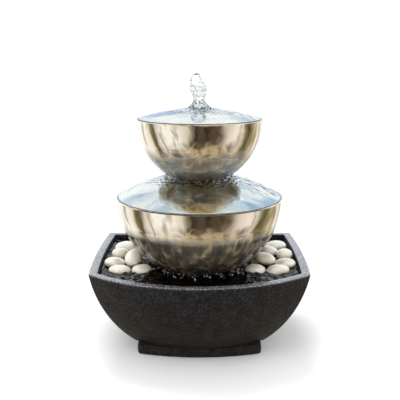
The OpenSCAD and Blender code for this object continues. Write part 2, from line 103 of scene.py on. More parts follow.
def make_piece(name, vertices, faces):
    """A mesh piece from an array of points and an array of four-cornered faces."""
    mesh = bpy.data.meshes.new(name)
    mesh.vertices.add(len(vertices))
    mesh.vertices.foreach_set("co", np.ascontiguousarray(vertices, np.float32).ravel())
    mesh.loops.add(faces.size)
    mesh.loops.foreach_set("vertex_index", faces.ravel().astype(np.int32))
    mesh.polygons.add(len(faces))
    mesh.polygons.foreach_set("loop_start", np.arange(0, faces.size, 4, dtype=np.int32))
    mesh.update(calc_edges=True)
    merge_points(mesh)
    mesh.polygons.foreach_set("use_smooth", np.full(len(mesh.polygons), True))
    piece = bpy.data.objects.new(name, mesh)
    bpy.context.scene.collection.objects.link(piece)
    return piece


def paint(piece, name, values):
    """Stores one number for each vertex, for a material to read."""
    store = piece.data.attributes.new(name, "FLOAT", "POINT")
    store.data.foreach_set("value", np.ascontiguousarray(values, np.float32))


def vertices_of(piece):
    """The piece's points as an array."""
    points = np.empty(3 * len(piece.data.vertices), np.float32)
    piece.data.vertices.foreach_get("co", points)
    return points.reshape(-1, 3)


def merge_points(mesh):
    """Joins points that lie on each other, so that seams and poles close, and turns faces out."""
    build = bmesh.new()
    build.from_mesh(mesh)
    bmesh.ops.remove_doubles(build, verts=build.verts, dist=1e-6)
    bmesh.ops.dissolve_degenerate(build, edges=build.edges, dist=1e-7)
    bmesh.ops.recalc_face_normals(build, faces=build.faces)
    build.to_mesh(mesh)
    build.free()


def grid_faces(rows, columns):
    """Four corners of every cell of a grid whose last column joins its first."""
    row, column = np.meshgrid(np.arange(rows - 1), np.arange(columns), indexing="ij")
    here = row * columns + column
    beside = row * columns + (column + 1) % columns
    return np.stack([here, beside, beside + columns, here + columns], -1).reshape(-1, 4)


def ring_grid(rings):
    """Points and faces of a tube through rings, an array of rows by columns by three."""
    return rings.reshape(-1, 3), grid_faces(*rings.shape[:2])


def spun_rings(radius, height, columns):
    """Rings of a surface of revolution: x = r cos t, y = r sin t and z = the height."""
    turn = np.linspace(0, TAU, columns, endpoint=False)
    r, t = np.meshgrid(radius, turn, indexing="ij")
    z = np.broadcast_to(np.asarray(height)[:, None], r.shape)
    return np.stack([r * np.cos(t), r * np.sin(t), z], -1)


def arc(centre_r, centre_z, radius, start, stop, steps):
    """Points of a round stretch of outline: centre plus radius at angles from start to stop."""
    angle = np.radians(np.linspace(start, stop, steps))
    return np.stack([centre_r + radius * np.cos(angle), centre_z + radius * np.sin(angle)], -1)


def add_waves(x, y, waves):
    """Sum of flat travelling waves, each a sine along its own direction with its own phase."""
    total = np.zeros_like(x)
    for length, size, heading, phase in waves:
        along = x * math.cos(heading) + y * math.sin(heading)
        total += size * np.sin(TAU * along / length + phase)
    return total


def chop(count, shortest, longest, size):
    """A hand of waves of mixed length, heading and phase, that together are as high as size."""
    lengths = rng.uniform(shortest, longest, count)
    return [(length, size * rng.uniform(0.5, 1) / count ** 0.5, rng.uniform(0, TAU),
             rng.uniform(0, TAU)) for length in lengths]


# --------------------------------------------------------------- materials

def colour(code):
    """An sRGB hex code as the linear colour that shaders take."""
    parts = [int(code[i:i + 2], 16) / 255 for i in (1, 3, 5)]
    return (*[p / 12.92 if p <= 0.04045 else ((p + 0.055) / 1.055) ** 2.4 for p in parts], 1)


def add(tree, kind, links=None, stops=(), **settings):
    """Adds a shader node with its settings, gives its inputs their values or sockets, and sets
    the stops of a colour ramp, each a place and a hex code."""
    node = tree.nodes.new("ShaderNode" + kind)
    for name, value in settings.items():
        setattr(node, name, value)
    for name, value in (links or {}).items():
        if isinstance(value, bpy.types.NodeSocket):
            tree.links.new(value, node.inputs[name])
        else:
            node.inputs[name].default_value = value
    for _ in range(len(stops) - 2):
        node.color_ramp.elements.new(0.5)
    for point, (place, code) in zip(node.color_ramp.elements if stops else (), stops):
        point.position = place
        point.color = colour(code)
    return node


def new_material(name):
    """An empty material and its node tree."""
    made = bpy.data.materials.new(name)
    made.use_nodes = True
    made.node_tree.nodes.clear()
    return made, made.node_tree


def cast_stone_resin():
    """Resin cast with ground stone: charcoal, satin, with a pitted sandy grain and pale specks.
    Its top edge is glossier, under a coat, and its paler speckled colour is a painted sheen of
    bright sky mirrored at a grazing angle."""
    made, tree = new_material("cast_stone_resin")
    place = add(tree, "TexCoord").outputs["Object"]
    rim_top_sheen = add(tree, "Attribute", attribute_name="rim_top_sheen").outputs["Fac"]
    # Sand grains of 0.5 mm are drawn 2.4 mm apart so that they show; mottling is 12 mm across
    grain = add(tree, "TexVoronoi", {"Vector": place, "Scale": 1 / (2.4 * MM)})
    fine = add(tree, "TexNoise", {"Vector": place, "Scale": 1 / (2.2 * MM), "Detail": 3.0})
    mottle = add(tree, "TexNoise", {"Vector": place, "Scale": 1 / (12 * MM), "Detail": 4.0})
    specks = add(tree, "ValToRGB", {"Fac": grain.outputs["Distance"]}, stops=[
        (0.0, "#4a4b4e"), (0.2, "#323336"), (0.34, "#242527"), (0.6, "#19191b")]).outputs[0]
    # Painted sheen: the pale speckled tone of the rim's top stands in for bright sky mirrored at a
    # grazing angle.
    painted_sheen_tone = add(tree, "ValToRGB", {"Fac": fine.outputs["Fac"]}, stops=[
        (0.35, "#26272a"), (0.5, "#55565b"), (0.62, "#a5a6ad")]).outputs[0]
    shade = add(tree, "ValToRGB", {"Fac": mottle.outputs["Fac"]}, stops=[
        (0.35, "#c4c4c6"), (0.65, "#ffffff")]).outputs[0]
    tone = add(tree, "Mix", {"Factor": rim_top_sheen, 6: specks, 7: painted_sheen_tone}, data_type="RGBA")
    mixed = add(tree, "Mix", {"Factor": 1.0, 6: tone.outputs[2], 7: shade}, data_type="RGBA",
                blend_type="MULTIPLY")
    rough = add(tree, "MapRange", {"Value": rim_top_sheen, "To Min": 0.55, "To Max": 0.3})
    pits = add(tree, "Math", {0: grain.outputs["Distance"], 1: fine.outputs["Fac"]},
               operation="ADD").outputs[0]
    bump = add(tree, "Bump", {"Height": pits, "Strength": 1.0, "Distance": 0.7 * MM})
    skin = add(tree, "BsdfPrincipled", {
        "Base Color": mixed.outputs[2], "Roughness": rough.outputs["Result"], "IOR": 1.5,
        "Specular IOR Level": 0.2, "Normal": bump.outputs["Normal"], "Coat Weight": rim_top_sheen,
        "Coat Roughness": 0.22, "Coat IOR": 1.8})
    add(tree, "OutputMaterial", {"Surface": skin.outputs["BSDF"]})
    return made


def tumbled_pebble():
    """Tumbled marble pebble, wet: cream, faint clouds and veins, with a polish-like gloss."""
    made, tree = new_material("tumbled_pebble")
    place = add(tree, "TexCoord").outputs["Object"]
    cloud = add(tree, "TexNoise", {"Vector": place, "Scale": 1 / (16 * MM), "Detail": 5.0,
                                   "Distortion": 0.6})
    tint = add(tree, "ValToRGB", {"Fac": cloud.outputs["Fac"]}, stops=[
        (0.25, "#c0b89f"), (0.42, "#dfd9c8"), (0.58, "#f3efe4"), (0.8, "#fcfaf5")]).outputs[0]
    bump = add(tree, "Bump", {"Height": cloud.outputs["Fac"], "Strength": 0.2,
                              "Distance": 0.6 * MM})
    skin = add(tree, "BsdfPrincipled", {
        "Base Color": tint, "Roughness": 0.25, "IOR": 1.5, "Normal": bump.outputs["Normal"],
        "Subsurface Weight": 0.2, "Subsurface Scale": 4 * MM, "Coat Weight": 1.0,
        "Coat Roughness": 0.05})
    add(tree, "OutputMaterial", {"Surface": skin.outputs["BSDF"]})
    return made


def polished_stainless():
    """Spun stainless steel, mirror polished, under a film of running water. Low on the bowls
    the broken mirror image is partly painted: the attribute flow mixes a
    painted reflection in brown and cream swirls into the steel and makes it less metallic. With it
    at 0 it is plain polished steel."""
    made, tree = new_material("polished_stainless")
    place = add(tree, "TexCoord").outputs["Object"]
    flow = add(tree, "Attribute", attribute_name="flow").outputs["Fac"]
    # Swirls are about 7 mm wide and drawn out threefold down a slant, and dents 40 mm across
    slant = add(tree, "Mapping", {"Vector": place, "Rotation": (0.2, 0.6, 0.3),
                                  "Scale": (1.0, 1.0, 0.3)})
    swirl = add(tree, "TexNoise", {"Vector": slant.outputs["Vector"],
                                   "Scale": 1 / (11 * MM), "Detail": 4.0, "Distortion": 0.7})
    dents = add(tree, "TexNoise", {"Vector": place, "Scale": 1 / (40 * MM), "Detail": 1.0})
    heave = add(tree, "Math", {0: swirl.outputs["Fac"], 1: flow}, operation="MULTIPLY")
    drawn = add(tree, "Math", {0: heave.outputs[0], 1: dents.outputs["Fac"]},
                operation="ADD")
    bump = add(tree, "Bump", {"Height": drawn.outputs[0], "Strength": 1.0,
                              "Distance": 1.6 * MM})
    # Painted reflection: dark brown to cream surroundings, mirrored in the bowl and broken by the
    # running water.
    painted_reflection_streaks = add(tree, "ValToRGB", {"Fac": swirl.outputs["Fac"]}, stops=[
        (0.34, "#17130c"), (0.46, "#3b3221"), (0.55, "#6c5c3f"), (0.63, "#9c8b67"),
        (0.74, "#cfc3aa")]).outputs[0]
    clean = add(tree, "ValToRGB", {"Fac": dents.outputs["Fac"]}, stops=[
        (0.3, "#d9d4cb"), (0.7, "#e4e0d8")]).outputs[0]
    tone = add(tree, "Mix", {"Factor": flow, 6: clean, 7: painted_reflection_streaks}, data_type="RGBA")
    mirror = add(tree, "MapRange", {"Value": flow, "To Min": 1.0, "To Max": 0.45})
    rough = add(tree, "MapRange", {"Value": flow, "To Min": 0.035, "To Max": 0.13})
    skin = add(tree, "BsdfPrincipled", {
        "Base Color": tone.outputs[2], "Metallic": mirror.outputs["Result"],
        "Roughness": rough.outputs["Result"], "Normal": bump.outputs["Normal"]})
    add(tree, "OutputMaterial", {"Surface": skin.outputs["BSDF"]})
    return made


def foaming_water():
    """Broken water full of air: white, wet and half clear."""
    made, tree = new_material("foaming_water")
    skin = add(tree, "BsdfPrincipled", {
        "Base Color": colour("#fbfdff"), "Roughness": 0.04, "IOR": 1.333,
        "Transmission Weight": 0.55})
    add(tree, "OutputMaterial", {"Surface": skin.outputs["BSDF"]})
    return made


def clear_water():
    """Moving fresh water: clear, smooth, refracts at 1.33."""
    made, tree = new_material("clear_water")
    skin = add(tree, "BsdfPrincipled", {
        "Base Color": colour("#f4fafc"), "Roughness": 0.0, "IOR": 1.333,
        "Transmission Weight": 1.0})
    add(tree, "OutputMaterial", {"Surface": skin.outputs["BSDF"]})
    return made


def pool_water():
    """Pool water: clear with a grey tint, which looks black over the dark basin."""
    made, tree = new_material("pool_water")
    skin = add(tree, "BsdfPrincipled", {
        "Base Color": colour("#8d959b"), "Roughness": 0.0, "IOR": 1.333,
        "Transmission Weight": 1.0})
    add(tree, "OutputMaterial", {"Surface": skin.outputs["BSDF"]})
    return made


def moulded(name, code, roughness, grain_mm, ior=1.5):
    """Injection-moulded plastic or rubber: one colour with a fine spark-eroded mould grain."""
    made, tree = new_material(name)
    place = add(tree, "TexCoord").outputs["Object"]
    grain = add(tree, "TexNoise", {"Vector": place, "Scale": 1 / (grain_mm * MM),
                                   "Detail": 2.0})
    rough = add(tree, "MapRange", {"Value": grain.outputs["Fac"],
                                   "To Min": roughness - 0.08, "To Max": roughness + 0.08})
    bump = add(tree, "Bump", {"Height": grain.outputs["Fac"], "Strength": 0.25,
                              "Distance": 0.08 * MM})
    skin = add(tree, "BsdfPrincipled", {
        "Base Color": colour(code), "Roughness": rough.outputs["Result"], "IOR": ior,
        "Normal": bump.outputs["Normal"]})
    add(tree, "OutputMaterial", {"Surface": skin.outputs["BSDF"]})
    return made


def turned_stainless():
    """Stainless steel turned on a lathe: fine rings round the axis."""
    made, tree = new_material("turned_stainless")
    place = add(tree, "TexCoord").outputs["Object"]
    rings = add(tree, "TexWave", {"Vector": place, "Scale": 1 / (1.2 * MM)},
                wave_type="BANDS", bands_direction="Z")
    bump = add(tree, "Bump", {"Height": rings.outputs["Fac"], "Strength": 0.15,
                              "Distance": 0.05 * MM})
    skin = add(tree, "BsdfPrincipled", {
        "Base Color": colour("#b9b8b5"), "Metallic": 1.0, "Roughness": 0.28,
        "Normal": bump.outputs["Normal"]})
    add(tree, "OutputMaterial", {"Surface": skin.outputs["BSDF"]})
    return made


def translucent_tube():
    """Soft PVC hose: nearly clear, faintly grey-green and waxy."""
    made, tree = new_material("translucent_pvc")
    place = add(tree, "TexCoord").outputs["Object"]
    haze = add(tree, "TexNoise", {"Vector": place, "Scale": 1 / (5 * MM), "Detail": 2.0})
    rough = add(tree, "MapRange", {"Value": haze.outputs["Fac"], "To Min": 0.18,
                                   "To Max": 0.32})
    skin = add(tree, "BsdfPrincipled", {
        "Base Color": colour("#c9d6d4"), "Roughness": rough.outputs["Result"], "IOR": 1.53,
        "Transmission Weight": 0.6})
    add(tree, "OutputMaterial", {"Surface": skin.outputs["BSDF"]})
    return made


def open_cell_foam():
    """Black reticulated filter foam: pores about 1.5 mm across."""
    made, tree = new_material("open_cell_foam")
    place = add(tree, "TexCoord").outputs["Object"]
    pores = add(tree, "TexVoronoi", {"Vector": place, "Scale": 1 / (1.5 * MM)})
    tint = add(tree, "ValToRGB", {"Fac": pores.outputs["Distance"]}, stops=[
        (0.1, "#0b0b0c"), (0.6, "#3b3c40")]).outputs[0]
    bump = add(tree, "Bump", {"Height": pores.outputs["Distance"], "Strength": 1.0,
                              "Distance": 0.8 * MM})
    skin = add(tree, "BsdfPrincipled", {
        "Base Color": tint, "Roughness": 0.9, "IOR": 1.45, "Normal": bump.outputs["Normal"]})
    add(tree, "OutputMaterial", {"Surface": skin.outputs["BSDF"]})
    return made


# ------------------------------------------------------------------- basin

FRONT_R = (CORNER_X ** 2 + FRONT_BOW ** 2) / (2 * FRONT_BOW)
SIDE_HALF = (BACK_Y - FRONT_Y - FRONT_BOW) / 2
SIDE_R = (SIDE_HALF ** 2 + SIDE_BOW ** 2) / (2 * SIDE_BOW)
SIDE_MID_Y = BACK_Y - SIDE_HALF
CURVE_Z = RIM_Z + CURVE_R * math.sin(LEAN)


def wall_inset(z):
    """How far the basin's outer wall stands in from the rim at height z: the wall is an arc
    of radius CURVE_R that leaves the rim at LEAN from upright."""
    return CURVE_R * math.cos(LEAN) - np.sqrt(CURVE_R ** 2 - (CURVE_Z - z) ** 2)


def cavity_inset(z):
    """The same for the inside of the wall, whose arc has a radius shorter by WALL."""
    return CURVE_R * math.cos(LEAN) - np.sqrt((CURVE_R - WALL) ** 2 - (CURVE_Z - z) ** 2)


def ray_to_circle(turn, centre_x, centre_y, radius):
    """Distance from the axis, along each turn, to a circle that the axis lies inside."""
    along = centre_x * np.cos(turn) + centre_y * np.sin(turn)
    return along + np.sqrt(along ** 2 + radius ** 2 - centre_x ** 2 - centre_y ** 2)


def soft_least(distances, sharpness):
    """The least of several distances, rounded off where two are close: the sum of their
    inverse powers, to the inverse root."""
    scaled = [np.maximum(d, 1e-4) ** -sharpness for d in distances]
    return sum(scaled) ** (-1 / sharpness)


def rim_outline(turn, inset):
    """Distance from the axis to the basin's outline, moved in by inset."""
    back = np.where(np.sin(turn) > 0.05, (BACK_Y - inset) / np.maximum(np.sin(turn), 0.05), 9.0)
    side_centre = CORNER_X + SIDE_BOW - SIDE_R
    walls = [
        ray_to_circle(turn, 0, FRONT_Y + FRONT_R, FRONT_R - inset),
        ray_to_circle(turn, side_centre, SIDE_MID_Y, SIDE_R - inset),
        ray_to_circle(turn, -side_centre, SIDE_MID_Y, SIDE_R - inset),
        back,
    ]
    return soft_least([w / CORNER_X for w in walls], 280) * CORNER_X


def foot_outline(turn, inset):
    """Distance from the axis to the foot's outline: bowed front, straight sides and back."""
    stand_in = wall_inset(BODY_Z) + FOOT_SETBACK + inset
    half_w = CORNER_X - stand_in
    front = FRONT_Y + stand_in
    back = BACK_Y - stand_in
    across = np.maximum(np.abs(np.cos(turn)), 0.05)
    behind = np.where(np.sin(turn) > 0.05, back / np.maximum(np.sin(turn), 0.05), 9.0)
    walls = [ray_to_circle(turn, 0, front + FOOT_BOW_R, FOOT_BOW_R), half_w / across, behind]
    return soft_least([w / half_w for w in walls], 90) * half_w


def basin_turns():
    """Turns round the axis, close together near the four corners and the bow's ends."""
    even = np.linspace(-math.pi, math.pi, 360, endpoint=False)
    near = np.linspace(-0.07, 0.07, 37)
    rim_front = math.atan2(FRONT_Y + FRONT_BOW, CORNER_X)
    rim_back = math.atan2(BACK_Y, CORNER_X)
    corners = [rim_front, -math.pi - rim_front, rim_back, math.pi - rim_back]
    return np.unique(np.round(np.concatenate([even] + [c + near for c in corners]), 5))


def outline_ring(outline, turn, inset, z):
    """One ring of the basin at height z."""
    r = outline(turn, inset)
    return np.stack([r * np.cos(turn), r * np.sin(turn), np.full_like(turn, z)], -1)


def make_basin():
    """The basin is one skin: up the inside, over the rounded rim, down the bowed outside, in
    under the body and down the foot. Each ring is the outline at its own inset and height."""
    turn = basin_turns()
    edge = 1.3 * MM
    rings = [outline_ring(rim_outline, turn, CORNER_X * 0.999, FLOOR_Z)]
    floor_inset = cavity_inset(FLOOR_Z)
    for share in (0.6, 0.85, 0.96):
        rings.append(outline_ring(rim_outline, turn, CORNER_X - share * (CORNER_X - floor_inset),
                                  FLOOR_Z))
    for z in np.linspace(FLOOR_Z + 2 * MM, RIM_Z - edge, 26):
        rings.append(outline_ring(rim_outline, turn, float(cavity_inset(z)), z))
    inner = float(cavity_inset(RIM_Z))
    for angle in np.radians([25, 50, 75, 90]):
        rings.append(outline_ring(rim_outline, turn, inner - edge * (1 - math.cos(angle)),
                                  RIM_Z - edge * (1 - math.sin(angle))))
    for angle in np.radians([90, 65, 40, 15]):
        rings.append(outline_ring(rim_outline, turn, edge * (1 - math.cos(angle)),
                                  RIM_Z - edge * (1 - math.sin(angle))))
    for z in np.linspace(RIM_Z - 2 * edge, BODY_Z + edge, 34):
        rings.append(outline_ring(rim_outline, turn, float(wall_inset(z)), z))
    for share in (0.35, 1.0):
        rings.append(outline_ring(rim_outline, turn, float(wall_inset(BODY_Z)) + share * edge,
                                  BODY_Z + edge * (0.35 - 0.35 * share)))
    for drop, inset in ((0.0, 0.6), (0.5, 0.2), (1.4, 0.0), (6.0, -0.2), (10.8, 0.2),
                        (11.9, 0.6), (12.5, 1.6)):
        rings.append(outline_ring(foot_outline, turn, inset * MM, BODY_Z - drop * MM))
    rings.append(outline_ring(foot_outline, turn, 0.97 * CORNER_X / 2, FEET_TOP))
    rings = np.array(rings)
    rings[0] = rings[0].mean(0)
    rings[-1] = rings[-1].mean(0)
    basin = make_piece("stone_basin", *ring_grid(rings))
    cut_notch(basin)
    z = vertices_of(basin)[:, 2]
    # Painted sheen: the rim's top band gets the pale stone tone, for mirrored sky, and a glossier
    # coat.
    paint(basin, "rim_top_sheen", np.clip((z - (RIM_Z - 1.1 * MM)) / (0.8 * MM), 0, 1))
    return basin


def cut_notch(basin):
    """Cuts the half-round notch for the pump's cable through the back of the rim."""
    depth = np.array([-3, -3, 3, 3]) * WALL + BACK_Y
    radius = np.array([0, 1, 1, 0]) * NOTCH_R
    rings = spun_rings(radius, depth, 48)[..., [0, 2, 1]]
    rings[..., 2] += RIM_Z
    cutter = make_piece("notch_cutter", *ring_grid(rings))
    cut = basin.modifiers.new("notch", "BOOLEAN")
    cut.object = cutter
    cut.solver = "EXACT"
    ready = basin.evaluated_get(bpy.context.evaluated_depsgraph_get())
    mesh = bpy.data.meshes.new_from_object(ready)
    basin.modifiers.clear()
    basin.data = mesh
    bpy.data.objects.remove(cutter)


# ----------------------------------------------------------------- pebbles

# Centre across, back and up from the deck, half length, half width, half thickness, all in
# millimetres, then the turn about the vertical and the tilt, in degrees
LEFT_PEBBLES = [
    (-69, -31, 7.6, 13.0, 11.0, 6.5, 5, 3), (-95.6, -31.5, 7.6, 13.3, 10.6, 6.3, -4, -3),
    (-103.5, -12, 10.0, 13.2, 11.0, 7.0, 30, -10), (-76, 4, 6.6, 12.6, 11.0, 6.3, 20, 0),
    (-79.8, -9, 15.8, 12.4, 11.0, 9.6, 50, 30), (-99.5, 18, 12.0, 11.6, 11.0, 7.8, 60, -14),
    (-76, 30, 7.6, 12.8, 11.4, 7.0, -20, 4), (-96.5, 48, 11.6, 14.8, 12.0, 8.0, 12, 6),
]
RIGHT_PEBBLES = [
    (66.6, -31, 7.6, 13.2, 11.0, 6.5, -5, -3), (93.3, -34.5, 7.8, 14.0, 11.2, 6.9, 6, 3),
    (104.5, -13.5, 9.6, 13.0, 11.0, 6.8, -30, 8), (75, 6, 6.6, 12.6, 11.0, 6.3, -20, 0),
    (81, -5, 13.2, 12.9, 11.0, 7.2, -12, -12), (107, 18, 11.4, 11.8, 10.6, 7.0, 62, 6),
    (88.5, 29, 12.4, 12.0, 10.8, 7.2, 14, -6), (100.5, 54, 12.2, 13.6, 11.6, 7.0, -20, 4),
]


def pebble_points(size, turn, tilt):
    """A pebble: a flattened ball whose radius swells and dips by a few long waves, tilted
    about its length and turned about the vertical."""
    latitude = np.linspace(-math.pi / 2, math.pi / 2, 25)
    longitude = np.linspace(0, TAU, 40, endpoint=False)
    a, b = np.meshgrid(latitude, longitude, indexing="ij")
    ball = np.stack([np.cos(a) * np.cos(b), np.cos(a) * np.sin(b), np.sin(a)], -1)
    swell = np.ones_like(a)
    for _ in range(5):
        heading = rng.normal(size=3)
        heading /= np.linalg.norm(heading)
        swell += 0.022 * np.sin(rng.uniform(1.5, 3.2) * (ball @ heading) + rng.uniform(0, TAU))
    points = ball * swell[..., None] * np.array(size) * MM
    c, s = math.cos(math.radians(tilt)), math.sin(math.radians(tilt))
    points = points @ np.array([[c, 0, s], [0, 1, 0], [-s, 0, c]])
    c, s = math.cos(math.radians(turn)), math.sin(math.radians(turn))
    return points @ np.array([[c, s, 0], [-s, c, 0], [0, 0, 1]])


def make_pebbles(name, places):
    """All pebbles of one side as one piece."""
    vertices, faces, count = [], [], 0
    for x, y, z, length, width, thickness, turn, tilt in places:
        rings = pebble_points((length, width, thickness), turn, tilt)
        rings = rings + np.array([x * MM, y * MM, DECK_Z + z * MM])
        rings[0] = rings[0].mean(0)
        rings[-1] = rings[-1].mean(0)
        points, cells = ring_grid(rings)
        vertices.append(points)
        faces.append(cells + count)
        count += len(points)
    return make_piece(name, np.concatenate(vertices), np.concatenate(faces))


# ---------------------------------------------------------- bowls and lids

def dome_height(r, edge_r, edge_z, rise):
    """Height of a round dome at distance r from the axis: a ball's cap that rises by rise
    over an edge of radius edge_r at height edge_z."""
    ball_r = (edge_r ** 2 + rise ** 2) / (2 * rise)
    return edge_z + rise - ball_r + np.sqrt(ball_r ** 2 - np.minimum(r, edge_r) ** 2)


def ball_height(r, centre_z, radius):
    """Height of the underside of a ball at distance r from the axis."""
    return centre_z - np.sqrt(np.maximum(radius ** 2 - r ** 2, 0))


def make_bowl(name, radius, centre_z, flat_z, lip, swirl_from, swirl_to, most):
    """A spun bowl: flat bottom with a hole, quarter-round outside, rolled lip and the same
    shape inside, one sheet thickness in. Low on it the running water's swirled bumps and a
    painted reflection start at swirl_from, and are as strong as most, from 0 to 1, below
    swirl_to. Both are shares of the radius under the rim."""
    start = math.degrees(math.asin((flat_z - centre_z) / radius))
    outside = arc(0, centre_z, radius, start, 0, 90)
    inside = arc(0, centre_z, radius - SHEET, 0, start + 0.7, 60)
    hole = np.array([[FITTING_HOLE_R, flat_z + SHEET], [FITTING_HOLE_R, flat_z]])
    roll = arc(radius - SHEET / 2, centre_z + lip - SHEET / 2, SHEET / 2, 0, 180, 9)
    outline = np.concatenate([hole, outside, roll, inside, hole[:1]])
    bowl = make_piece(name, *ring_grid(spun_rings(outline[:, 0], outline[:, 1], 256)))
    depth = (centre_z - vertices_of(bowl)[:, 2]) / radius
    # Painted reflection and water swirl: the mask grows with depth under the rim.
    paint(bowl, "flow", most * np.clip((depth - swirl_from) / (swirl_to - swirl_from), 0, 1))
    return bowl


def make_lid(name, edge_r, edge_z, rise, hole_r):
    """A domed lid: cap of a ball with a hole in the middle, rounded over into a skirt."""
    skirt = 5 * MM
    r = np.linspace(hole_r, edge_r - 0.4 * MM, 60)
    top = np.stack([r, dome_height(r, edge_r, edge_z, rise)], -1)
    side = np.array([[edge_r, edge_z - 0.4 * MM], [edge_r, edge_z - skirt],
                     [edge_r - SHEET, edge_z - skirt], [edge_r - SHEET, edge_z - SHEET]])
    under = top[::-1][2:] - np.array([0, SHEET])
    outline = np.concatenate([top, side, under, top[:1]])
    return make_piece(name, *ring_grid(spun_rings(outline[:, 0], outline[:, 1], 192)))


# ------------------------------------------------------------------- water

def make_lid_water(name, edge_r, edge_z, rise, inner_r, rim_r, ripple, ceiling=None):
    """Water that runs over a lid: a film over the dome. It is glassy in front and broken by
    short waves behind and to the right, it churns at its inner edge, and its outer edge
    rounds down over the bowl's lip."""
    film = 0.9 * MM
    around = 440
    r = np.linspace(inner_r, edge_r, 130)
    turn = np.linspace(0, TAU, around, endpoint=False)
    rr, tt = np.meshgrid(r, turn, indexing="ij")
    x, y = rr * np.cos(tt), rr * np.sin(tt)
    out = (rr - inner_r) / (edge_r - inner_r)
    broken = 0.12 + 0.88 * np.clip(0.5 + 0.6 * np.sin(tt) + 0.35 * np.cos(tt), 0, 1) ** 1.5
    height = ripple * broken * add_waves(x, y, FINE_CHOP)
    churn = np.exp(-(rr - inner_r) / (7 * MM))
    height = height + churn * (1.2 * MM + add_waves(x, y, CHURN))
    base = dome_height(rr, edge_r, edge_z, rise)
    z = base + film + height * np.clip(1.6 - 1.4 * out, 0, 1)
    z = np.maximum(z, base + 0.25 * MM)
    if ceiling is not None:
        z = np.minimum(z, ceiling(rr) - 0.05 * MM)
    top = np.stack([x, y, z], -1)
    bottom = np.stack([x, y, base + 0.05 * MM], -1)[::-3]
    edge = []
    for grow, drop in ((0.45, 0.1), (0.8, 0.3), (1.0, 0.5), (1.02, 0.7)):
        radius = edge_r + grow * (rim_r - edge_r)
        edge.append(spun_rings([radius], [edge_z + film * (1 - drop) + 0.25 * MM],
                               around)[0])
    rings = np.concatenate([top, np.array(edge), bottom, top[:1]])
    return make_piece(name, *ring_grid(rings))


FINE_CHOP = chop(14, 6 * MM, 22 * MM, 0.3 * MM)
CHURN = chop(16, 3 * MM, 9 * MM, 2.0 * MM)
POOL_CHOP = chop(22, 5 * MM, 16 * MM, 1.5 * MM)


def make_pool():
    """The pool fills the basin under its level. Its top has rings spreading from the lower
    bowl and mixed chop that is higher near the bowl."""
    turn = basin_turns()
    share = np.concatenate([[0.0005], np.linspace(0.15, 1, 150)])
    edge = rim_outline(turn, float(cavity_inset(POOL_Z)) + 0.15 * MM)
    rr = share[:, None] * edge[None, :]
    x, y = rr * np.cos(turn), rr * np.sin(turn)
    from_bowl = np.maximum(rr - CONTACT_R, 0)
    lively = 0.5 + 1.3 * np.exp(-from_bowl / (22 * MM))
    rings = 0.8 * MM * np.sin(TAU * from_bowl / (8 * MM) + 0.9 * np.sin(7 * turn))
    z = POOL_Z + lively * add_waves(x, y, POOL_CHOP) + rings * np.exp(-from_bowl / (18 * MM))
    top = np.stack([x, y, z], -1)
    sides = [outline_ring(rim_outline, turn, float(cavity_inset(h)) + 0.15 * MM, h)
             for h in np.linspace(POOL_Z - 3 * MM, FLOOR_Z + 0.2 * MM, 12)]
    middle = np.zeros((1, len(turn), 3))
    middle[..., 2] = FLOOR_Z + 0.2 * MM
    rings = np.concatenate([top, np.array(sides), middle])
    return make_piece("pool_water", *ring_grid(rings))


def make_jet():
    """The jet: an outline of splash collar, neck and egg, spun, and pushed in and out by
    short waves so that it looks like foaming water. It leans a little to the left."""
    low, high = JET_LOW.z, JET_HIGH.z
    tall = high - low
    wide = 9.2 * MM
    share = np.array([0, 0.03, 0.08, 0.16, 0.27, 0.42, 0.62, 0.78, 0.9, 0.97, 1.0])
    radius = np.array([1.5, 1.4, 1.08, 0.78, 0.72, 0.92, 1.0, 0.9, 0.64, 0.32, 0.0]) * wide
    up = np.linspace(0, 1, 150)
    base = np.interp(up, share, radius)
    base = np.convolve(np.pad(base, 4, mode="edge"), np.full(9, 1 / 9), "valid")
    base[-1] = 0
    turn = np.linspace(0, TAU, 200, endpoint=False)
    uu, tt = np.meshgrid(up, turn, indexing="ij")
    rr = np.broadcast_to(base[:, None], uu.shape)
    x, y, z = rr * np.cos(tt), rr * np.sin(tt), low + uu * tall
    lumps = add_waves(x + 0.6 * z, y - 0.5 * z, chop(12, 4 * MM, 11 * MM, 0.95 * MM))
    lumps = lumps + add_waves(z, x + y, chop(12, 4 * MM, 12 * MM, 0.95 * MM))
    rr = np.maximum(rr + lumps * np.sqrt(np.clip(rr / wide, 0, 1)), 0)
    rr[-1] = 0
    lean = -3.5 * MM * uu ** 1.3
    points = np.stack([rr * np.cos(tt) + lean, rr * np.sin(tt), np.minimum(z, high)], -1)
    bottom = points[:1].copy()
    bottom[..., :2] = 0
    return make_piece("jet_water", *ring_grid(np.concatenate([bottom, points])))


def make_drops(name, centres, radii):
    """Many small round drops as one piece: each is a ball of a few dozen faces."""
    latitude = np.linspace(-math.pi / 2, math.pi / 2, 7)
    radius, height = np.cos(latitude), np.sin(latitude)
    ball = spun_rings(radius, height, 9)
    points, cells = ring_grid(ball)
    centres, radii = np.asarray(centres), np.asarray(radii)
    vertices = centres[:, None, :] + radii[:, None, None] * points[None]
    faces = cells[None] + (np.arange(len(radii)) * len(points))[:, None, None]
    return make_piece(name, vertices.reshape(-1, 3), faces.reshape(-1, 4))


def make_splashes():
    """Drops and bubbles thrown up where the lower bowl's water meets the pool: they lie in a
    ring round it, thick near the bowl and thin further out."""
    count = 900
    turn = rng.uniform(0, TAU, count)
    away = CONTACT_R + rng.exponential(9 * MM, count)
    up = POOL_Z + rng.exponential(1.5 * MM, count).clip(0, 6 * MM)
    size = rng.uniform(0.3, 1.15, count) ** 1.5 * MM
    centres = np.stack([away * np.cos(turn), away * np.sin(turn), up], -1)
    inside = away < 72 * MM
    return make_drops("pool_splashes", centres[inside], size[inside])


# --------------------------------------------------------------- make it all

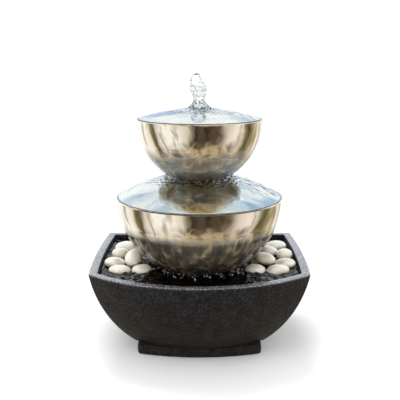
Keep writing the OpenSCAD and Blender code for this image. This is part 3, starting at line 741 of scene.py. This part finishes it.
stone = cast_stone_resin()
pebble = tumbled_pebble()
steel = polished_stainless()
water = clear_water()
pool = pool_water()
rubber = moulded("moulded_rubber", "#1a1a1a", 0.72, 0.7, 1.52)
black_plastic = moulded("black_polypropylene", "#222224", 0.45, 0.5)
pump_plastic = moulded("pump_abs", "#2b2c30", 0.4, 0.6)
knob_plastic = moulded("knob_abs", "#54555a", 0.38, 0.5)
white_plastic = moulded("rotor_acetal", "#ecebe6", 0.3, 0.5)
ceramic = moulded("fired_alumina", "#e5dfd0", 0.3, 0.4, 1.76)
turned = turned_stainless()
tube = translucent_tube()
foam = open_cell_foam()


def dress(piece, finish, body, slot, *stands_for):
    """Gives a new piece its material and its body, and hides the nodes that it stands for. The slot
    is not used.
    """
    piece.data.materials.append(finish)
    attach(piece, body)
    if stands_for:
        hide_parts(*stands_for)
    return piece


dress(make_basin(), stone, "root", "stone_resin", "basin")
dress(make_pebbles("left_pebbles", LEFT_PEBBLES), pebble, "root", "pebble_stone",
      "pebbles_left")
dress(make_pebbles("right_pebbles", RIGHT_PEBBLES), pebble, "root", "pebble_stone",
      "pebbles_right")
dress(make_bowl("lower_steel_bowl", LOWER_R, LOWER_Z, LOWER_FLAT_Z, 0.5 * MM,
                0.27, 0.38, 0.9), steel, "lower_tier", "polished_steel", "lower_bowl")
dress(make_bowl("upper_steel_bowl", UPPER_R, UPPER_Z, UPPER_FLAT_Z, UPPER_LIP,
                0.36, 0.56, 0.75), steel, "upper_tier", "polished_steel", "upper_bowl")
dress(make_lid("lower_steel_lid", LOWER_LID_R, LOWER_Z, LOWER_RISE, NEST_R), steel,
      "lower_tier", "polished_steel", "lower_lid")
dress(make_lid("upper_steel_lid", UPPER_LID_R, UPPER_RIM_Z, UPPER_RISE, NOZZLE_HOLE_R), steel,
      "upper_tier", "polished_steel", "upper_lid")


def upper_bowl_underside(r):
    """Height of the upper bowl's outside, which the lower water comes up to."""
    return ball_height(r, UPPER_Z, UPPER_R)


dress(make_lid_water("lower_lid_water", LOWER_LID_R, LOWER_Z, LOWER_RISE, 36 * MM, LOWER_R,
                     1.0, upper_bowl_underside), water, "lower_tier", "water", "lower_water")
dress(make_lid_water("upper_lid_water", UPPER_LID_R, UPPER_RIM_Z, UPPER_RISE, 10.9 * MM,
                     UPPER_R, 0.8), water, "upper_tier", "water", "upper_water")
dress(make_pool(), pool, "root", "water")
dress(make_splashes(), foaming_water(), "root", "water")
dress(make_jet(), water, "upper_tier", "water", "water_jet")

FINISHES = {
    "basin_feet": rubber, "cable_grommet": rubber, "pebble_deck": black_plastic,
    "pedestal": black_plastic, "lower_seat_ring": rubber, "pump_body": pump_plastic,
    "suction_cups": rubber, "outlet_barb": pump_plastic, "impeller_shaft": turned,
    "rear_bushing": ceramic, "impeller": white_plastic, "pump_cover": pump_plastic,
    "front_bushing": ceramic, "intake_sponge": foam, "flow_knob": knob_plastic,
    "feed_tube": tube, "lower_bulkhead": black_plastic, "lower_washer": rubber,
    "lower_locknut": black_plastic, "riser_tube": tube, "tier_coupler": black_plastic,
    "upper_seat_ring": rubber, "upper_bulkhead": black_plastic, "upper_washer": rubber,
    "upper_locknut": black_plastic, "nozzle_tube": tube, "nozzle": turned,
    "nozzle_nut": black_plastic,
}
for name, finish in FINISHES.items():
    mesh = nodes[name].data
    mesh.materials.clear()
    mesh.materials.append(finish)


# ------------------------------------------------------- stage, light, camera

def make_floor():
    """A wide pale floor that only the camera and soft light see, not the polished steel."""
    mesh = bpy.data.meshes.new("floor")
    far = 6.0
    mesh.from_pydata([(-far, -far, 0), (far, -far, 0), (far, far, 0), (-far, far, 0)], [],
                     [(0, 1, 2, 3)])
    floor = bpy.data.objects.new("floor", mesh)
    bpy.context.scene.collection.objects.link(floor)
    made, tree = new_material("white_sweep")
    skin = add(tree, "BsdfDiffuse", {"Color": colour("#f6f6f6")})
    add(tree, "OutputMaterial", {"Surface": skin.outputs["BSDF"]})
    mesh.materials.append(made)
    floor.visible_glossy = False


def soft_light(name, place, aim, size, power):
    """A large square lamp that points at aim, and that mirrors don't show."""
    lamp = bpy.data.lights.new(name, "AREA")
    lamp.shape = "SQUARE"
    lamp.size = size
    lamp.energy = power
    holder = bpy.data.objects.new(name, lamp)
    bpy.context.scene.collection.objects.link(holder)
    holder.location = place
    way = np.array(aim) - np.array(place)
    flat = math.hypot(way[0], way[1])
    holder.rotation_euler = (math.atan2(flat, -way[2]), 0, math.atan2(-way[0], way[1]))
    holder.visible_glossy = False
    holder.visible_transmission = False


def soft_sun(name, tilt, turn, power, spread):
    """A sun behind thin cloud, which lights the floor evenly and makes the stone sparkle."""
    lamp = bpy.data.lights.new(name, "SUN")
    lamp.energy = power
    lamp.angle = math.radians(spread)
    holder = bpy.data.objects.new(name, lamp)
    bpy.context.scene.collection.objects.link(holder)
    holder.rotation_euler = (math.radians(tilt), 0, math.radians(turn))
    holder.visible_glossy = False
    holder.visible_transmission = False


def make_surroundings():
    """White studio light for the camera and soft surfaces. Rays that were mirrored see a
    terrace garden painted by direction: pale sky behind, a brown house in front, and warm
    paving with planting below. Rays that were only refracted see a grey to white gradient."""
    world = bpy.data.worlds.new("studio")
    bpy.context.scene.world = world
    world.use_nodes = True
    tree = world.node_tree
    tree.nodes.clear()
    way = add(tree, "TexCoord").outputs["Generated"]
    parts = add(tree, "SeparateXYZ", {"Vector": way})
    x, y, z = (parts.outputs[k] for k in "XYZ")
    # Bearing runs from 0 behind the fountain on the left, through 0.5 in front, to 1 on the right
    front = add(tree, "Math", {0: y, 1: -1.0}, operation="MULTIPLY").outputs[0]
    turn = add(tree, "Math", {0: x, 1: front}, operation="ARCTAN2").outputs[0]
    bearing = add(tree, "MapRange", {"Value": turn, "From Min": -math.pi, "From Max": math.pi})
    blobs = add(tree, "TexNoise", {"Vector": way, "Scale": 5.0, "Detail": 5.0})
    sway = add(tree, "MapRange", {"Value": blobs.outputs["Fac"], "To Min": -0.012,
                                  "To Max": 0.012})
    place = add(tree, "Math", {0: bearing.outputs["Result"], 1: sway.outputs["Result"]},
                operation="ADD").outputs[0]
    bands = add(tree, "ValToRGB", {"Fac": place}, stops=[
        (0.0, "#ffffff"), (0.17, "#fffdf8"), (0.205, "#f0e6d6"), (0.222, "#8d8362"),
        (0.243, "#716a55"), (0.262, "#d9d0c4"), (0.3, "#fffaf2"), (0.36, "#fffdf8"),
        (0.405, "#f2ebdf"), (0.435, "#d9cfbc"), (0.455, "#857a6a"), (0.472, "#3c322a"),
        (0.5, "#52473c"), (0.53, "#483e32"), (0.585, "#54483b"), (0.625, "#988b7c"),
        (0.655, "#d9cec2"), (0.7, "#f3e9dd"), (0.74, "#e2d6c8"), (0.765, "#8b8a66"),
        (0.785, "#5d5a3c"), (0.815, "#a39774"), (0.86, "#e8dcc0"), (0.9, "#fdfaf4"),
        (1.0, "#ffffff")]).outputs[0]
    sill = add(tree, "Math", {0: z, 1: 0.06}, operation="MULTIPLY").outputs[0]
    upright = add(tree, "CombineXYZ", {"X": place, "Y": sill})
    posts = add(tree, "TexNoise", {"Vector": upright.outputs[0], "Scale": 32.0, "Detail": 2.0})
    shade = add(tree, "ValToRGB", {"Fac": posts.outputs["Fac"]}, stops=[
        (0.36, "#c4beb6"), (0.5, "#ffffff")]).outputs[0]
    posted = add(tree, "Mix", {"Factor": 1.0, 6: bands, 7: shade}, data_type="RGBA",
                 blend_type="MULTIPLY")
    patches = add(tree, "TexNoise", {"Vector": way, "Scale": 2.2, "Detail": 2.0})
    paving = add(tree, "ValToRGB", {"Fac": patches.outputs["Fac"]}, stops=[
        (0.32, "#241c14"), (0.42, "#5f503c"), (0.5, "#d0bd96"), (0.56, "#8a7858"),
        (0.68, "#33291f")]).outputs[0]
    uneven = add(tree, "MapRange", {"Value": patches.outputs["Fac"], "To Min": -0.15,
                                    "To Max": 0.15})
    slope = add(tree, "Math", {0: z, 1: uneven.outputs["Result"]}, operation="ADD").outputs[0]
    down = add(tree, "MapRange", {"Value": slope, "From Min": -0.8, "From Max": -0.5})
    ground = add(tree, "Mix", {"Factor": down.outputs["Result"], 6: paving, 7: posted.outputs[2]},
                 data_type="RGBA").outputs[2]
    puffs = add(tree, "TexNoise", {"Vector": way, "Scale": 3.0, "Detail": 4.0})
    sky = add(tree, "ValToRGB", {"Fac": puffs.outputs["Fac"]}, stops=[
        (0.37, "#a4c0e2"), (0.45, "#dfe9f4"), (0.53, "#ffffff")]).outputs[0]
    house = add(tree, "ValToRGB", {"Fac": patches.outputs["Fac"]}, stops=[
        (0.3, "#6a5532"), (0.48, "#a8895a"), (0.6, "#d9c294"), (0.72, "#8b7146")]).outputs[0]
    facing = add(tree, "MapRange", {"Value": y, "From Min": -0.72, "From Max": -0.3})
    above = add(tree, "Mix", {"Factor": facing.outputs["Result"], 6: house, 7: sky},
                 data_type="RGBA").outputs[2]
    up = add(tree, "MapRange", {"Value": z, "From Min": -0.02, "From Max": 0.1})
    garden = add(tree, "Mix", {"Factor": up.outputs["Result"], 6: ground, 7: above},
                 data_type="RGBA").outputs[2]
    path = add(tree, "LightPath")
    studio = add(tree, "Background", {"Color": colour("#ffffff"), "Strength": 1.0})
    mirror_view = add(tree, "Background", {"Color": garden, "Strength": 1.3})
    behind = add(tree, "MapRange", {"Value": y, "From Min": 0.5, "From Max": 0.99})
    glimpse = add(tree, "ValToRGB", {"Fac": behind.outputs["Result"]}, stops=[
        (0.0, "#1d1a15"), (0.5, "#5c5850"), (0.8, "#c9c7c2"), (1.0, "#f6f6f4")]).outputs[0]
    through_view = add(tree, "Background", {"Color": glimpse, "Strength": 1.0})
    seen_through = add(tree, "MixShader", {0: path.outputs["Is Transmission Ray"],
                                           1: studio.outputs[0], 2: through_view.outputs[0]})
    # A ray that met steel on its way counts as mirrored, even after it went through water
    met_steel = add(tree, "Math", {0: path.outputs["Glossy Depth"], 1: 1.0},
                    operation="MINIMUM").outputs[0]
    from_soft = add(tree, "Math", {0: path.outputs["Is Diffuse Ray"], 1: -1.0, 2: 1.0},
                    operation="MULTIPLY_ADD").outputs[0]
    mirrored = add(tree, "Math", {0: met_steel, 1: from_soft}, operation="MULTIPLY")
    everything = add(tree, "MixShader", {0: mirrored.outputs[0], 1: seen_through.outputs[0],
                                         2: mirror_view.outputs[0]})
    add(tree, "OutputWorld", {"Surface": everything.outputs[0]})


def make_camera():
    """Looks at the fountain from the front, a little above it."""
    lens = bpy.data.cameras.new("camera")
    lens.sensor_width = 36.0
    lens.lens = 57.6
    holder = bpy.data.objects.new("camera", lens)
    bpy.context.scene.collection.objects.link(holder)
    holder.location = (0.0006, -0.7588, 0.3473)
    holder.rotation_euler = (math.radians(90 - 12.56), 0, 0)
    bpy.context.scene.camera = holder


make_camera()
make_floor()
make_surroundings()
soft_sun("thin_cloud_sun", 25, 200, 1.2, 25)
soft_light("key", (-0.9, -0.9, 1.3), (0, 0, 0.15), 0.9, 8)
soft_light("fill", (1.1, -0.7, 0.9), (0, 0, 0.12), 0.9, 4)
bpy.context.scene.view_settings.view_transform = "Standard"
